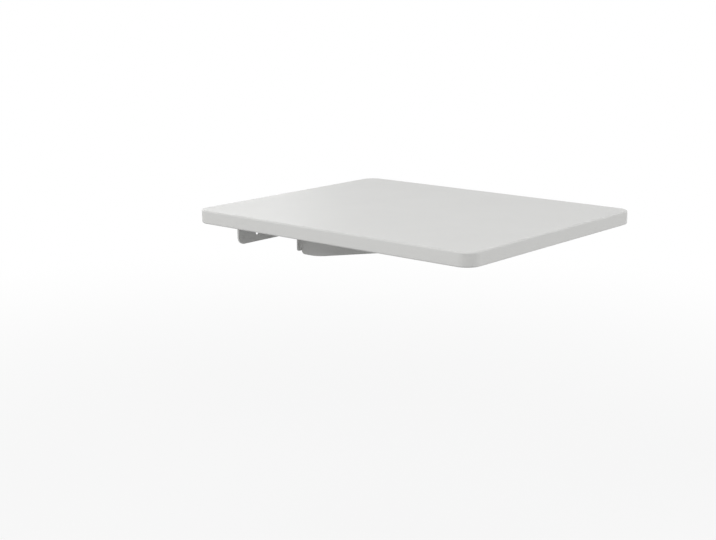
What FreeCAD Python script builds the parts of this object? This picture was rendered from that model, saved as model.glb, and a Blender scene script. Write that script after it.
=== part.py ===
"""Hang-on nightstand: a lacquered board on a welded steel bracket that hooks over a bed's side rail.

Frame, in millimetres: +X points away from the bed, +Y towards its head end and +Z up. The origin is
the middle of the seat on the rail: half way through the rail's thickness, at the height of its top.
Each function makes one sub-part, and each sub-part is written to its own STEP file.
"""
import FreeCAD
import Part

import math
import os

from FreeCAD import Vector

# Rail that the bracket fits
rail_thickness = 25.0
rail_play = 0.5

# Board
board_length = 500.0
board_width = 400.0
board_thickness = 20.0
board_corner_radius = 22.0
board_arris_radius = 2.5
board_overlap = 22.0

# Carrier plate: the folded sheet under the board
sheet_thickness = 3.0
sheet_edge_break = 0.4
fold_inner_radius = 3.0
hook_width = 220.0
hook_leg_depth = 45.0
hook_leg_corner_radius = 12.0
shoulder_reach = 40.0
shoulder_corner_radius = 12.0
shoulder_blend_radius = 30.0
stem_width = 60.0
stem_end_margin = 60.0
stem_corner_radius = 12.0

# Back plate: the flat bar on the rail's outer face
back_plate_width = 20.0
back_plate_height = 68.0
back_plate_thickness = 3.0
back_plate_corner_radius = 3.0

# Support web: the tapered plate on edge
web_thickness = 5.0
web_edge_break = 0.6
web_heel_depth = 73.5
web_heel_radius = 7.0
web_heel_flat = 10.0
web_belly_radius = 190.0
web_tip_depth = 10.0
web_tip_radius = 5.0
web_end_margin = 22.0

# Tabs on the web's upper edge, and their slots in the carrier plate
tab_length = 18.0
tab_clearance = 0.15
tab_count = 3
tab_first_share = 0.16
tab_last_share = 0.84

# Weld beads
weld_leg = 3.0
weld_gap = 1.0
stitch_length = 28.0
stitch_count = 4
stitch_first_share = 0.05
stitch_last_share = 0.95

# Flanged screws and the threaded inserts that hold them in the board
screw_diameter = 6.0
screw_length = 14.0
screw_head_diameter = 10.0
screw_head_height = 3.3
screw_flange_diameter = 13.0
screw_flange_thickness = 0.8
screw_crown_diameter = 5.0
screw_dome_rise = 0.4
screw_socket_width = 4.0
screw_socket_depth = 1.9
plate_hole_clearance = 0.3
insert_diameter = 10.0
insert_length = 12.0
insert_fit_clearance = 0.05
insert_bore_clearance = 0.1
insert_pocket_spare = 1.0
shoulder_screw_inset = 20.0
stem_screw_offset = 19.0
stem_screw_first = 215.0
stem_screw_end_margin = 30.0
stem_screw_rows = 2

# Pads of felt on the three faces that touch the rail
pad_thickness = 1.0
pad_inset = 2.0
pad_corner_radius = 3.0
hook_leg_pad_height = 16.0

# Holes in the hook's leg for screws into the rail
rail_screw_diameter = 5.5
rail_screw_head_diameter = 9.0
rail_screw_spacing = 140.0
rail_screw_depth = 32.0

# Overrun of a cutting tool past the face that it enters
overrun = 2.0

# Places that follow from the sizes above
rail_outer_x = rail_thickness / 2
rail_inner_x = -rail_thickness / 2
plate_bottom_z = pad_thickness
plate_top_z = plate_bottom_z + sheet_thickness
board_inner_x = rail_outer_x - board_overlap
board_outer_x = board_inner_x + board_length
board_top_z = plate_top_z + board_thickness
leg_rail_side_x = rail_inner_x - rail_play - pad_thickness
leg_bed_side_x = leg_rail_side_x - sheet_thickness
fold_centre_x = leg_rail_side_x + fold_inner_radius
fold_centre_z = plate_bottom_z - fold_inner_radius
shoulder_x = rail_outer_x + shoulder_reach
stem_end_x = board_outer_x - stem_end_margin
back_plate_rail_x = rail_outer_x + pad_thickness
web_root_x = back_plate_rail_x + back_plate_thickness
web_tip_x = stem_end_x - web_end_margin
web_length = web_tip_x - web_root_x
heel_z = plate_bottom_z - web_heel_depth
tip_z = plate_bottom_z - web_tip_depth
back_plate_bottom_z = plate_bottom_z - back_plate_height

UP = Vector(0, 0, 1)
DOWN = Vector(0, 0, -1)
OUTWARD = Vector(1, 0, 0)
TOWARDS_BED = Vector(-1, 0, 0)
SIDEWAYS = Vector(0, 1, 0)


def rounded_rectangle(corner, across, along, radii):
    """Face of a rectangle with its own radius at each corner.

    corner is the first corner, across and along are the two side vectors, and radii follow the
    corners in the order corner, corner + across, corner + across + along, corner + along.
    """
    corners = [corner, corner + across, corner + across + along, corner + along]
    sides = [across, along, across * -1, along * -1]
    directions = [Vector(side).normalize() for side in sides]
    edges = []
    for index, radius in enumerate(radii):
        before = directions[index - 1]
        after = directions[index]
        following = (index + 1) % len(radii)
        start = corners[index] + after * radius
        end = corners[following] - after * radii[following]
        if radius > 0:
            arc_start = corners[index] - before * radius
            centre = arc_start + after * radius
            middle = centre + (corners[index] - centre).normalize() * radius
            edges.append(Part.Arc(arc_start, middle, start).toShape())
        edges.append(Part.LineSegment(start, end).toShape())
    return Part.Face(Part.Wire(edges))


def mirrored(shape):
    """Copy of a shape on the other side of the XZ plane."""
    return shape.mirror(Vector(0, 0, 0), SIDEWAYS)


def on_both_sides(shapes):
    """Shapes together with their copies on the other side of the XZ plane."""
    return shapes + [mirrored(shape) for shape in shapes]


def row_places(first, last, count):
    """Evenly spaced places from first to last."""
    return [first + (last - first) * index / (count - 1) for index in range(count)]


def board_screw_places():
    """X and Y of every screw between the carrier plate and the board."""
    shoulder = Vector(shoulder_x - shoulder_screw_inset, hook_width / 2 - shoulder_screw_inset, 0)
    rows = row_places(stem_screw_first, stem_end_x - stem_screw_end_margin, stem_screw_rows)
    stem = [Vector(x, stem_screw_offset, 0) for x in rows]
    one_side = [shoulder] + stem
    return one_side + [Vector(place.x, -place.y, 0) for place in one_side]


def tab_places():
    """X of the middle of each tab on the web's upper edge."""
    first = web_root_x + web_length * tab_first_share
    last = web_root_x + web_length * tab_last_share
    return row_places(first, last, tab_count)


def board():
    """Lacquered board with rounded corners and arrises, and a pocket for each insert."""
    corner = Vector(board_inner_x, -board_width / 2, plate_top_z)
    outline = rounded_rectangle(
        corner, OUTWARD * board_length, SIDEWAYS * board_width, [board_corner_radius] * 4
    )
    solid = outline.extrude(UP * board_thickness)
    arrises = outline_edges(solid, "Z", plate_top_z, board_top_z)
    solid = solid.makeFillet(board_arris_radius, arrises)
    pocket_radius = insert_diameter / 2 + insert_fit_clearance
    pocket_depth = insert_length + insert_pocket_spare
    for place in board_screw_places():
        start = place + UP * (plate_top_z - overrun)
        solid = solid.cut(Part.makeCylinder(pocket_radius, pocket_depth + overrun, start))
    return solid


def carrier_outline():
    """Plan of the carrier plate's flat part: a T whose stem runs under the middle of the board."""
    half_hook = hook_width / 2
    half_stem = stem_width / 2
    blend_start_x = shoulder_x + shoulder_blend_radius
    diagonal = math.sqrt(0.5)
    z = plate_bottom_z

    corner_centre = Vector(shoulder_x - shoulder_corner_radius, half_hook - shoulder_corner_radius, z)
    blend_centre = Vector(blend_start_x, half_stem + shoulder_blend_radius, z)
    end_centre = Vector(stem_end_x - stem_corner_radius, half_stem - stem_corner_radius, z)

    root = Vector(fold_centre_x, half_hook, z)
    corner_a = corner_centre + SIDEWAYS * shoulder_corner_radius
    corner_m = corner_centre + Vector(diagonal, diagonal, 0) * shoulder_corner_radius
    corner_b = corner_centre + OUTWARD * shoulder_corner_radius
    blend_a = blend_centre - OUTWARD * shoulder_blend_radius
    blend_m = blend_centre - Vector(diagonal, diagonal, 0) * shoulder_blend_radius
    blend_b = blend_centre - SIDEWAYS * shoulder_blend_radius
    end_a = end_centre + SIDEWAYS * stem_corner_radius
    end_m = end_centre + Vector(diagonal, diagonal, 0) * stem_corner_radius
    end_b = end_centre + OUTWARD * stem_corner_radius

    half = [
        Part.LineSegment(root, corner_a).toShape(),
        Part.Arc(corner_a, corner_m, corner_b).toShape(),
        Part.LineSegment(corner_b, blend_a).toShape(),
        Part.Arc(blend_a, blend_m, blend_b).toShape(),
        Part.LineSegment(blend_b, end_a).toShape(),
        Part.Arc(end_a, end_m, end_b).toShape(),
    ]
    other_half = [mirrored(edge) for edge in reversed(half)]
    end = Part.LineSegment(end_b, Vector(end_b.x, -end_b.y, z)).toShape()
    fold_line = Part.LineSegment(Vector(root.x, -root.y, z), root).toShape()
    edges = Part.__sortEdges__(half + [end] + other_half + [fold_line])
    return Part.Face(Part.Wire(edges))


def hook_fold():
    """Quarter bend between the flat part and the leg."""
    diagonal = Vector(-math.sqrt(0.5), 0, math.sqrt(0.5))
    centre = Vector(fold_centre_x, -hook_width / 2, fold_centre_z)
    outer_radius = fold_inner_radius + sheet_thickness
    inner_top = centre + UP * fold_inner_radius
    inner_side = centre + TOWARDS_BED * fold_inner_radius
    outer_top = centre + UP * outer_radius
    outer_side = centre + TOWARDS_BED * outer_radius
    edges = [
        Part.Arc(inner_top, centre + diagonal * fold_inner_radius, inner_side).toShape(),
        Part.LineSegment(inner_side, outer_side).toShape(),
        Part.Arc(outer_side, centre + diagonal * outer_radius, outer_top).toShape(),
        Part.LineSegment(outer_top, inner_top).toShape(),
    ]
    return Part.Face(Part.Wire(edges)).extrude(SIDEWAYS * hook_width)


def hook_leg():
    """Leg of the hook, with rounded lower corners."""
    height = fold_centre_z + hook_leg_depth
    corner = Vector(leg_bed_side_x, -hook_width / 2, fold_centre_z)
    radii = [0, 0, hook_leg_corner_radius, hook_leg_corner_radius]
    face = rounded_rectangle(corner, SIDEWAYS * hook_width, DOWN * height, radii)
    return face.extrude(OUTWARD * sheet_thickness)


def outline_edges(solid, face_axis, low, high):
    """Edges that run round a sheet on its two flat faces, which lie at low and high on an axis."""
    found = []
    for edge in solid.Edges:
        box = edge.BoundBox
        least = getattr(box, face_axis + "Min")
        most = getattr(box, face_axis + "Max")
        for level in (low, high):
            if abs(least - level) < sheet_edge_break / 4 and abs(most - level) < sheet_edge_break / 4:
                found.append(edge)
    return found


def carrier_plate():
    """Folded sheet: T-shaped flat part, bend and leg, with its holes and slots."""
    flat = carrier_outline().extrude(UP * sheet_thickness)
    solid = flat.fuse([hook_fold(), hook_leg()]).removeSplitter()

    rim = []
    for edge in outline_edges(solid, "Z", plate_bottom_z, plate_top_z):
        beside_fold = edge.BoundBox.XMax < fold_centre_x + sheet_edge_break
        if not beside_fold:
            rim.append(edge)
    solid = solid.makeChamfer(sheet_edge_break, rim)

    for place in board_screw_places():
        radius = screw_diameter / 2 + plate_hole_clearance
        start = place + UP * (plate_bottom_z - overrun)
        solid = solid.cut(Part.makeCylinder(radius, sheet_thickness + overrun * 2, start))
    for x in tab_places():
        length = tab_length + tab_clearance * 2
        width = web_thickness + tab_clearance * 2
        start = Vector(x - length / 2, -width / 2, plate_bottom_z - overrun)
        solid = solid.cut(Part.makeBox(length, width, sheet_thickness + overrun * 2, start))
    for y in (-rail_screw_spacing / 2, rail_screw_spacing / 2):
        solid = solid.cut(rail_screw_hole(y))
    return solid


def rail_screw_hole(y):
    """Cutting tool for one countersunk hole in the hook's leg."""
    start = Vector(leg_rail_side_x + overrun, y, -rail_screw_depth)
    length = sheet_thickness + overrun * 2
    bore = Part.makeCylinder(rail_screw_diameter / 2, length, start, TOWARDS_BED)
    sink_depth = (rail_screw_head_diameter - rail_screw_diameter) / 2
    sink_start = Vector(leg_bed_side_x + sink_depth, y, -rail_screw_depth)
    sink = Part.makeCone(
        rail_screw_diameter / 2, rail_screw_head_diameter / 2, sink_depth, sink_start, TOWARDS_BED
    )
    return bore.fuse(sink)


def back_plate():
    """Flat bar that stands on the rail's outer face and carries the web's root."""
    corner = Vector(back_plate_rail_x, -back_plate_width / 2, plate_bottom_z)
    radii = [0, 0, back_plate_corner_radius, back_plate_corner_radius]
    face = rounded_rectangle(corner, SIDEWAYS * back_plate_width, DOWN * back_plate_height, radii)
    return face.extrude(OUTWARD * back_plate_thickness)


def taper_contact(centre, point):
    """Point where the straight line from the web's tip touches the belly circle.

    centre is the belly circle's centre, above the lower edge, and point is the tip's lower corner.
    """
    reach = point - centre
    distance = reach.Length
    heading = math.atan2(reach.z, reach.x)
    opening = math.acos(web_belly_radius / distance)
    angle = heading - opening
    return centre + Vector(math.cos(angle), 0, math.sin(angle)) * web_belly_radius


def web_lower_edge(y):
    """Edges of the web from its root, round the heel and the belly, along the taper to the tip."""
    root = Vector(web_root_x, y, heel_z + web_heel_radius)
    heel_centre = Vector(web_root_x + web_heel_radius, y, heel_z + web_heel_radius)
    heel_end = heel_centre + DOWN * web_heel_radius
    heel_middle = heel_centre + Vector(-math.sqrt(0.5), 0, -math.sqrt(0.5)) * web_heel_radius
    belly_start = heel_end + OUTWARD * web_heel_flat
    belly_centre = belly_start + UP * web_belly_radius

    tip_corner = Vector(web_tip_x, y, tip_z)
    belly_end = taper_contact(belly_centre, tip_corner)
    taper = (tip_corner - belly_end).normalize()
    half_turn = (math.pi / 2 - math.atan2(taper.z, taper.x)) / 2
    setback = web_tip_radius * math.tan(half_turn)
    tip_arc_start = tip_corner - taper * setback
    tip_arc_end = tip_corner + UP * setback
    tip_centre = tip_arc_end + TOWARDS_BED * web_tip_radius
    tip_middle = tip_centre + (tip_corner - tip_centre).normalize() * web_tip_radius

    belly_middle = (belly_start + belly_end) * 0.5 - belly_centre
    belly_middle = belly_centre + belly_middle.normalize() * web_belly_radius
    return [
        Part.Arc(root, heel_middle, heel_end).toShape(),
        Part.LineSegment(heel_end, belly_start).toShape(),
        Part.Arc(belly_start, belly_middle, belly_end).toShape(),
        Part.LineSegment(belly_end, tip_arc_start).toShape(),
        Part.Arc(tip_arc_start, tip_middle, tip_arc_end).toShape(),
        Part.LineSegment(tip_arc_end, Vector(web_tip_x, y, plate_bottom_z)).toShape(),
    ]


def support_web():
    """Tapered plate on edge, with eased lower edges and tabs that key it into the carrier plate."""
    y = -web_thickness / 2
    top_root = Vector(web_root_x, y, plate_bottom_z)
    top_tip = Vector(web_tip_x, y, plate_bottom_z)
    root = Vector(web_root_x, y, heel_z + web_heel_radius)
    upper_edges = [
        Part.LineSegment(top_tip, top_root).toShape(),
        Part.LineSegment(top_root, root).toShape(),
    ]
    wire = Part.Wire(Part.__sortEdges__(web_lower_edge(y) + upper_edges))
    solid = Part.Face(wire).extrude(SIDEWAYS * web_thickness)

    eased = []
    for edge in outline_edges(solid, "Y", -web_thickness / 2, web_thickness / 2):
        top = edge.BoundBox.ZMin > plate_bottom_z - web_edge_break
        at_root = edge.BoundBox.XMax < web_root_x + web_edge_break
        if not top and not at_root:
            eased.append(edge)
    solid = solid.makeChamfer(web_edge_break, eased)

    tab_height = sheet_thickness - tab_clearance
    for x in tab_places():
        start = Vector(x - tab_length / 2, y, plate_bottom_z)
        solid = solid.fuse(Part.makeBox(tab_length, web_thickness, tab_height, start))
    return solid.removeSplitter()


def fillet_bead(start, end, first_side, second_side, starts_on_face=False):
    """Weld bead in the corner between two faces, flat across its face and rounded at its ends.

    start and end are the ends of its straight run, on the line where the two faces meet, and the
    two sides are the directions in which its legs lie on them. A bead that starts on a third face
    has no rounded end there.
    """
    run = end - start
    toes = [start, start + first_side * weld_leg, start + second_side * weld_leg, start]
    section = Part.Face(Part.makePolygon(toes))
    turn = 90 if first_side.cross(second_side).dot(run) < 0 else -90
    solids = [section.translated(run).revolve(end, first_side, -turn)]
    if not starts_on_face:
        solids.append(section.revolve(start, first_side, turn))
    return section.extrude(run).fuse(solids).removeSplitter()


def web_top_welds():
    """Stitches on both sides of the web, under the carrier plate."""
    first = web_root_x + web_length * stitch_first_share + stitch_length / 2
    last = web_root_x + web_length * stitch_last_share - stitch_length / 2
    beads = []
    for x in row_places(first, last, stitch_count):
        start = Vector(x - stitch_length / 2, web_thickness / 2, plate_bottom_z)
        end = start + OUTWARD * stitch_length
        beads.append(fillet_bead(start, end, SIDEWAYS, DOWN))
    return Part.Compound(on_both_sides(beads))


def web_back_welds():
    """Upright bead on each side of the web's root, on the back plate."""
    top_z = plate_bottom_z - weld_leg * 2 - weld_gap
    bottom_z = max(back_plate_bottom_z, heel_z + web_heel_radius) + weld_leg + weld_gap
    start = Vector(web_root_x, web_thickness / 2, top_z)
    end = Vector(web_root_x, web_thickness / 2, bottom_z)
    return Part.Compound(on_both_sides([fillet_bead(start, end, SIDEWAYS, OUTWARD)]))


def back_plate_welds():
    """Short bead from each side of the web, between the back plate and the carrier plate."""
    start = Vector(web_root_x, web_thickness / 2, plate_bottom_z)
    end = Vector(web_root_x, back_plate_width / 2 - weld_gap - weld_leg, plate_bottom_z)
    return Part.Compound(on_both_sides([fillet_bead(start, end, OUTWARD, DOWN, True)]))


def board_insert(place):
    """Threaded insert, flush with the underside of the board."""
    start = place + UP * plate_top_z
    sleeve = Part.makeCylinder(insert_diameter / 2, insert_length, start)
    bore_radius = screw_diameter / 2 + insert_bore_clearance
    bore = Part.makeCylinder(bore_radius, insert_length + overrun * 2, start + DOWN * overrun)
    return sleeve.cut(bore)


def board_screw(place):
    """Flanged button-head screw with a hexagon socket, head down."""
    seat_z = plate_bottom_z
    end_z = seat_z + screw_length
    flange_radius = screw_flange_diameter / 2
    head_radius = screw_head_diameter / 2
    shank_radius = screw_diameter / 2
    flange_z = seat_z - screw_flange_thickness
    rim = Vector(head_radius, 0, flange_z)
    crown = Vector(screw_crown_diameter / 2, 0, seat_z - screw_head_height)
    chord = crown - rim
    bulge = Vector(-chord.z, 0, chord.x).normalize() * screw_dome_rise
    profile = [
        Vector(0, 0, crown.z),
        Vector(0, 0, end_z),
        Vector(shank_radius, 0, end_z),
        Vector(shank_radius, 0, seat_z),
        Vector(flange_radius, 0, seat_z),
        Vector(flange_radius, 0, flange_z),
        rim,
    ]
    edges = [Part.LineSegment(a, b).toShape() for a, b in zip(profile, profile[1:])]
    edges.append(Part.Arc(rim, rim + chord * 0.5 + bulge, crown).toShape())
    edges.append(Part.LineSegment(crown, profile[0]).toShape())
    solid = Part.Face(Part.Wire(edges)).revolve(Vector(0, 0, 0), UP, 360)
    return solid.cut(hexagon_socket(crown.z)).translated(place)


def hexagon_socket(mouth_z):
    """Cutting tool for a screw's socket, from below its mouth up to its floor."""
    corner_radius = screw_socket_width / math.sqrt(3)
    corners = []
    for index in range(6):
        angle = math.radians(60 * index)
        x = corner_radius * math.cos(angle)
        y = corner_radius * math.sin(angle)
        corners.append(Vector(x, y, mouth_z - overrun))
    hexagon = Part.Face(Part.makePolygon(corners + corners[:1]))
    return hexagon.extrude(UP * (overrun + screw_socket_depth))


def at_every_screw(make):
    """Compound with one solid from make at each screw's place."""
    return Part.Compound([make(place) for place in board_screw_places()])


def rail_top_pad():
    """Pad under the carrier plate, on the top of the rail."""
    length = rail_thickness - pad_inset * 2
    width = hook_width - pad_inset * 2
    corner = Vector(-length / 2, -width / 2, 0)
    face = rounded_rectangle(corner, OUTWARD * length, SIDEWAYS * width, [pad_corner_radius] * 4)
    return face.extrude(UP * pad_thickness)


def hook_leg_pad():
    """Pad on the rail's side of the hook's leg, above the screw holes."""
    top_z = fold_centre_z - pad_inset
    width = hook_width - pad_inset * 2
    corner = Vector(leg_rail_side_x, -width / 2, top_z)
    across = SIDEWAYS * width
    face = rounded_rectangle(corner, across, DOWN * hook_leg_pad_height, [pad_corner_radius] * 4)
    return face.extrude(OUTWARD * pad_thickness)


def heel_pad():
    """Pad between the back plate and the outer face of the rail."""
    width = back_plate_width - pad_inset * 2
    top_z = -pad_inset
    height = top_z - back_plate_bottom_z - pad_inset
    corner = Vector(rail_outer_x, -width / 2, top_z)
    face = rounded_rectangle(corner, SIDEWAYS * width, DOWN * height, [pad_corner_radius] * 4)
    return face.extrude(OUTWARD * pad_thickness)


def sub_parts():
    """Every sub-part's shape by name."""
    return {
        "board": board(),
        "carrier_plate": carrier_plate(),
        "back_plate": back_plate(),
        "support_web": support_web(),
        "web_top_welds": web_top_welds(),
        "web_back_welds": web_back_welds(),
        "back_plate_welds": back_plate_welds(),
        "board_inserts": at_every_screw(board_insert),
        "board_screws": at_every_screw(board_screw),
        "rail_top_pad": rail_top_pad(),
        "hook_leg_pad": hook_leg_pad(),
        "heel_pad": heel_pad(),
    }


def main():
    """Write each sub-part to its STEP file and print its size."""
    os.makedirs("parts", exist_ok=True)
    for name, shape in sub_parts().items():
        shape.exportStep(f"parts/{name}.step")
        box = shape.optimalBoundingBox(False, False)
        print(
            f"{name}: {len(shape.Solids)} solids, valid {shape.isValid()}, "
            f"volume {shape.Volume:.1f} mm3, "
            f"x {box.XMin:.2f}..{box.XMax:.2f}, y {box.YMin:.2f}..{box.YMax:.2f}, "
            f"z {box.ZMin:.2f}..{box.ZMax:.2f}"
        )


main()
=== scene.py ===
"""Looks of a hang-on nightstand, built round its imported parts.

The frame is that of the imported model: +X runs from the hook along the board, +Y across it and +Z up,
and the origin is the middle of the hook's seat. Shapes are worked out in millimetres as whole numpy
arrays, and they become metres when they are put into a mesh.
"""
import logging
import math
from dataclasses import dataclass
from enum import Enum

import bmesh
import bpy
import numpy as np
from mathutils import Matrix, Vector
from mathutils.geometry import tessellate_polygon


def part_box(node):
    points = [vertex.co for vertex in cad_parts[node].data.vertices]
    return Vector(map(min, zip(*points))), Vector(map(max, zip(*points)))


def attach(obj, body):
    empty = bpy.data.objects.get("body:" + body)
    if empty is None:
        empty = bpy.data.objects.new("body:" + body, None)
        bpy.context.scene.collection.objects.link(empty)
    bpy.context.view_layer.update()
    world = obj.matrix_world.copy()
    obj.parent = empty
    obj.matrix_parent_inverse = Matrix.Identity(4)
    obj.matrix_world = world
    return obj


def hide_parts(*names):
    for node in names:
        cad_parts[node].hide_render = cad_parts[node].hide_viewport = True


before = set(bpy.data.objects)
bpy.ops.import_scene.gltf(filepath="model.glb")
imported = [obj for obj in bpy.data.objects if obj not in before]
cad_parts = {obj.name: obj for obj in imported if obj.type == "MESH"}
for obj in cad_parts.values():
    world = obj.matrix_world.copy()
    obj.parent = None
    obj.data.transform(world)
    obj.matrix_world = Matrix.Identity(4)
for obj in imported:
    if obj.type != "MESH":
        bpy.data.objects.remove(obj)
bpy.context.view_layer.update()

LOGGER = logging.getLogger("nightstand")
MM = 0.001
BODY = "root"
SHARP_ANGLE = math.radians(38.0)
SAME_POINT = 1e-5
NO_LENGTH = 1e-9
DIAGONAL = math.sqrt(0.5)

Array = np.ndarray
Pair = tuple[float, float]
Triple = tuple[float, float, float]
Material = bpy.types.Material
Node = bpy.types.Node
Piece = bpy.types.Object
Socket = bpy.types.NodeSocket
Tree = bpy.types.NodeTree


class Slot(Enum):
    """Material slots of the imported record."""

    BOARD = "board_lacquer"
    BRACKET = "bracket_paint"
    INSERT = "insert_brass"
    SCREW = "screw_zinc"
    PAD = "pad_felt"


class Side(Enum):
    """The two flat faces of a sheet, by the row of its rim that runs round them."""

    LOWER = 0
    UPPER = -1


# Lines in a plane


@dataclass(frozen=True)
class Path:
    """Points of a line in a plane, in millimetres, and the unit tangent at each of them."""

    points: Array
    tangents: Array

    def inward(self) -> Array:
        """Unit normals to the left of the direction of travel."""
        return np.stack([-self.tangents[:, 1], self.tangents[:, 0]], axis=1)


def joined(paths: list[Path]) -> Path:
    """Several paths one after the other."""
    points = np.concatenate([path.points for path in paths])
    return Path(points, np.concatenate([path.tangents for path in paths]))


def rounded_path(corners: Array, radii: Array, steps: int, closed: bool = True) -> Path:
    """Polygon with an arc at each corner.

    The arc starts radius * tan(turn / 2) before the corner and runs through
    start + before * radius * sin(a) + side * radius * (1 - cos(a)) as a goes from 0 to the turn.

    Args:
        corners: Corners of the polygon, shape (count, 2).
        radii: Radius of the arc at each corner.
        steps: Divisions of each arc.
        closed: Whether the last corner is joined to the first.

    Returns:
        The path, with repeated points left out.
    """
    corners = np.asarray(corners, float)
    radii = np.asarray(radii, float)
    before = corners - np.roll(corners, 1, axis=0)
    after = np.roll(corners, -1, axis=0) - corners
    if not closed:
        before[0] = after[0]
        after[-1] = before[-1]
    before /= np.linalg.norm(before, axis=1, keepdims=True)
    after /= np.linalg.norm(after, axis=1, keepdims=True)
    cross = before[:, 0] * after[:, 1] - before[:, 1] * after[:, 0]
    turn = np.arctan2(cross, (before * after).sum(axis=1))
    side = np.stack([-before[:, 1], before[:, 0]], axis=1) * np.sign(turn)[:, None]
    setback = radii * np.tan(np.abs(turn) / 2)
    start = corners - before * setback[:, None]
    angle = np.abs(turn)[:, None] * np.linspace(0.0, 1.0, steps + 1)
    forward = radii[:, None] * np.sin(angle)
    aside = radii[:, None] * (1 - np.cos(angle))
    points = start[:, None] + before[:, None] * forward[..., None] + side[:, None] * aside[..., None]
    tangents = before[:, None] * np.cos(angle)[..., None] + side[:, None] * np.sin(angle)[..., None]
    points = points.reshape(-1, 2)
    step_lengths = np.linalg.norm(np.diff(points, axis=0, prepend=points[:1] - 1.0), axis=1)
    kept = step_lengths > SAME_POINT
    return Path(points[kept], tangents.reshape(-1, 2)[kept])


def circle_path(centre: Pair, radius: float, count: int = 36) -> Path:
    """Circle run clockwise, so that the material round a hole lies to its left.

    Args:
        centre: Middle of the circle.
        radius: Its radius.
        count: Number of its points.

    Returns:
        Closed path.
    """
    angle = -np.arange(count) * 2 * np.pi / count
    direction = np.stack([np.cos(angle), np.sin(angle)], axis=1)
    tangents = np.stack([np.sin(angle), -np.cos(angle)], axis=1)
    return Path(np.asarray(centre) + radius * direction, tangents)


def rectangle(low: Pair, high: Pair) -> Array:
    """Corners of a rectangle, run anticlockwise from its lowest one."""
    return np.array([low, (high[0], low[1]), high, (low[0], high[1])])


def edge_profile(thickness: float, radius: float, support: float, steps: int) -> Path:
    """Inset and height from the lower face, round both edges, onto the upper face.

    Args:
        thickness: Thickness of the sheet.
        radius: Radius of both edges.
        support: Width of the flat strip kept beside each edge.
        steps: Divisions of each edge's arc.

    Returns:
        Path in the plane of inset and height.
    """
    reach = radius + support
    corners = [(reach, 0.0), (0.0, 0.0), (0.0, thickness), (reach, thickness)]
    return rounded_path(corners, [0.0, radius, radius, 0.0], steps, closed=False)


# Places in space


@dataclass(frozen=True)
class Plane:
    """Lays plan coordinates (s, q, h) at origin + across * s + along * q + up * h."""

    origin: Triple
    across: Triple
    along: Triple
    up: Triple

    def vectors(self, plan: Array, directions: Array) -> Array:
        """Directions in space of directions in the plan."""
        return directions @ np.array([self.across, self.along, self.up])

    def points(self, plan: Array) -> Array:
        """Points in space of points in the plan."""
        return np.array(self.origin) + self.vectors(plan, plan)


@dataclass(frozen=True)
class Fold:
    """Lays a sheet's flat pattern (s, q, h) over a quarter bend.

    The bend's turn is -s / length of a right angle, held between none and the whole of it. A point
    lies at centre + run along the sheet + (inner_radius + h) across it, both turned by that angle,
    where run is the part of s that is left before or after the bend.
    """

    centre: Triple
    inner_radius: float
    length: float

    def vectors(self, plan: Array, directions: Array) -> Array:
        """Turn directions as the sheet is turned at each point.

        Args:
            plan: Points in the flat pattern.
            directions: Direction in the flat pattern at each of them.

        Returns:
            The directions in space.
        """
        turn = np.clip(-plan[:, 0] / self.length, 0.0, 1.0) * np.pi / 2
        along, beside, across = directions.T
        x = along * np.cos(turn) - across * np.sin(turn)
        z = along * np.sin(turn) + across * np.cos(turn)
        return np.stack([x, beside, z], axis=1)

    def points(self, plan: Array) -> Array:
        """Lay points over the bend.

        Args:
            plan: Points in the flat pattern.

        Returns:
            The points in space.
        """
        s, q, h = plan.T
        run = np.maximum(s, 0.0) + np.minimum(s + self.length, 0.0)
        return self.vectors(plan, np.stack([run, q, self.inner_radius + h], axis=1)) + self.centre


# Meshes


class Surface:
    """Points and faces of one piece, gathered from grids before they become a mesh."""

    def __init__(self) -> None:
        """Start with no points and no faces."""
        self.points: list[Array] = []
        self.faces: list[list[int]] = []
        self.count = 0

    def add_grid(self, points: Array, wrap_rows: bool = False, flip: bool = False) -> Array:
        """Add a grid whose columns close on themselves.

        Faces look to the right of the columns' direction, with the rows going up.

        Args:
            points: Grid of shape (rows, columns, 3).
            wrap_rows: Whether the last row is joined to the first.
            flip: Whether the faces are turned over.

        Returns:
            Index of each point, shape (rows, columns).
        """
        flat = points.reshape(-1, 3)
        self.points.append(flat)
        indices = self.count + np.arange(len(flat)).reshape(points.shape[:-1])
        self.count += len(flat)
        beside = np.roll(indices, -1, axis=1)
        above = np.roll(indices, -1, axis=0)
        quads = np.stack([indices, beside, np.roll(beside, -1, axis=0), above], axis=-1)
        self.add_faces((quads if wrap_rows else quads[:-1]).reshape(-1, 4), flip)
        return indices

    def add_faces(self, faces: Array, flip: bool = False) -> None:
        """Add faces given as rows of indices, turned over if asked."""
        self.faces.extend((faces[:, ::-1] if flip else faces).tolist())

    def close_ends(self, grid: Array, flip: bool = False) -> None:
        """Close the first and last rows of a grid with one face each."""
        self.add_faces(grid[:1, ::-1], flip)
        self.add_faces(grid[-1:], flip)

    def piece(self, name: str, normals: Array | None = None) -> Piece:
        """Make the object.

        Args:
            name: Name of the piece.
            normals: Normal at each point, or None for smooth faces parted at sharp edges.

        Returns:
            The linked object, at the origin, with its place in its mesh.
        """
        mesh = bpy.data.meshes.new(name)
        mesh.from_pydata((np.concatenate(self.points) * MM).tolist(), [], self.faces)
        mesh.shade_smooth()
        if normals is None:
            mesh.set_sharp_from_angle(angle=SHARP_ANGLE)
        else:
            mesh.normals_split_custom_set_from_vertices(normals.tolist())
        piece = bpy.data.objects.new(name, mesh)
        bpy.context.scene.collection.objects.link(piece)
        return piece


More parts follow.
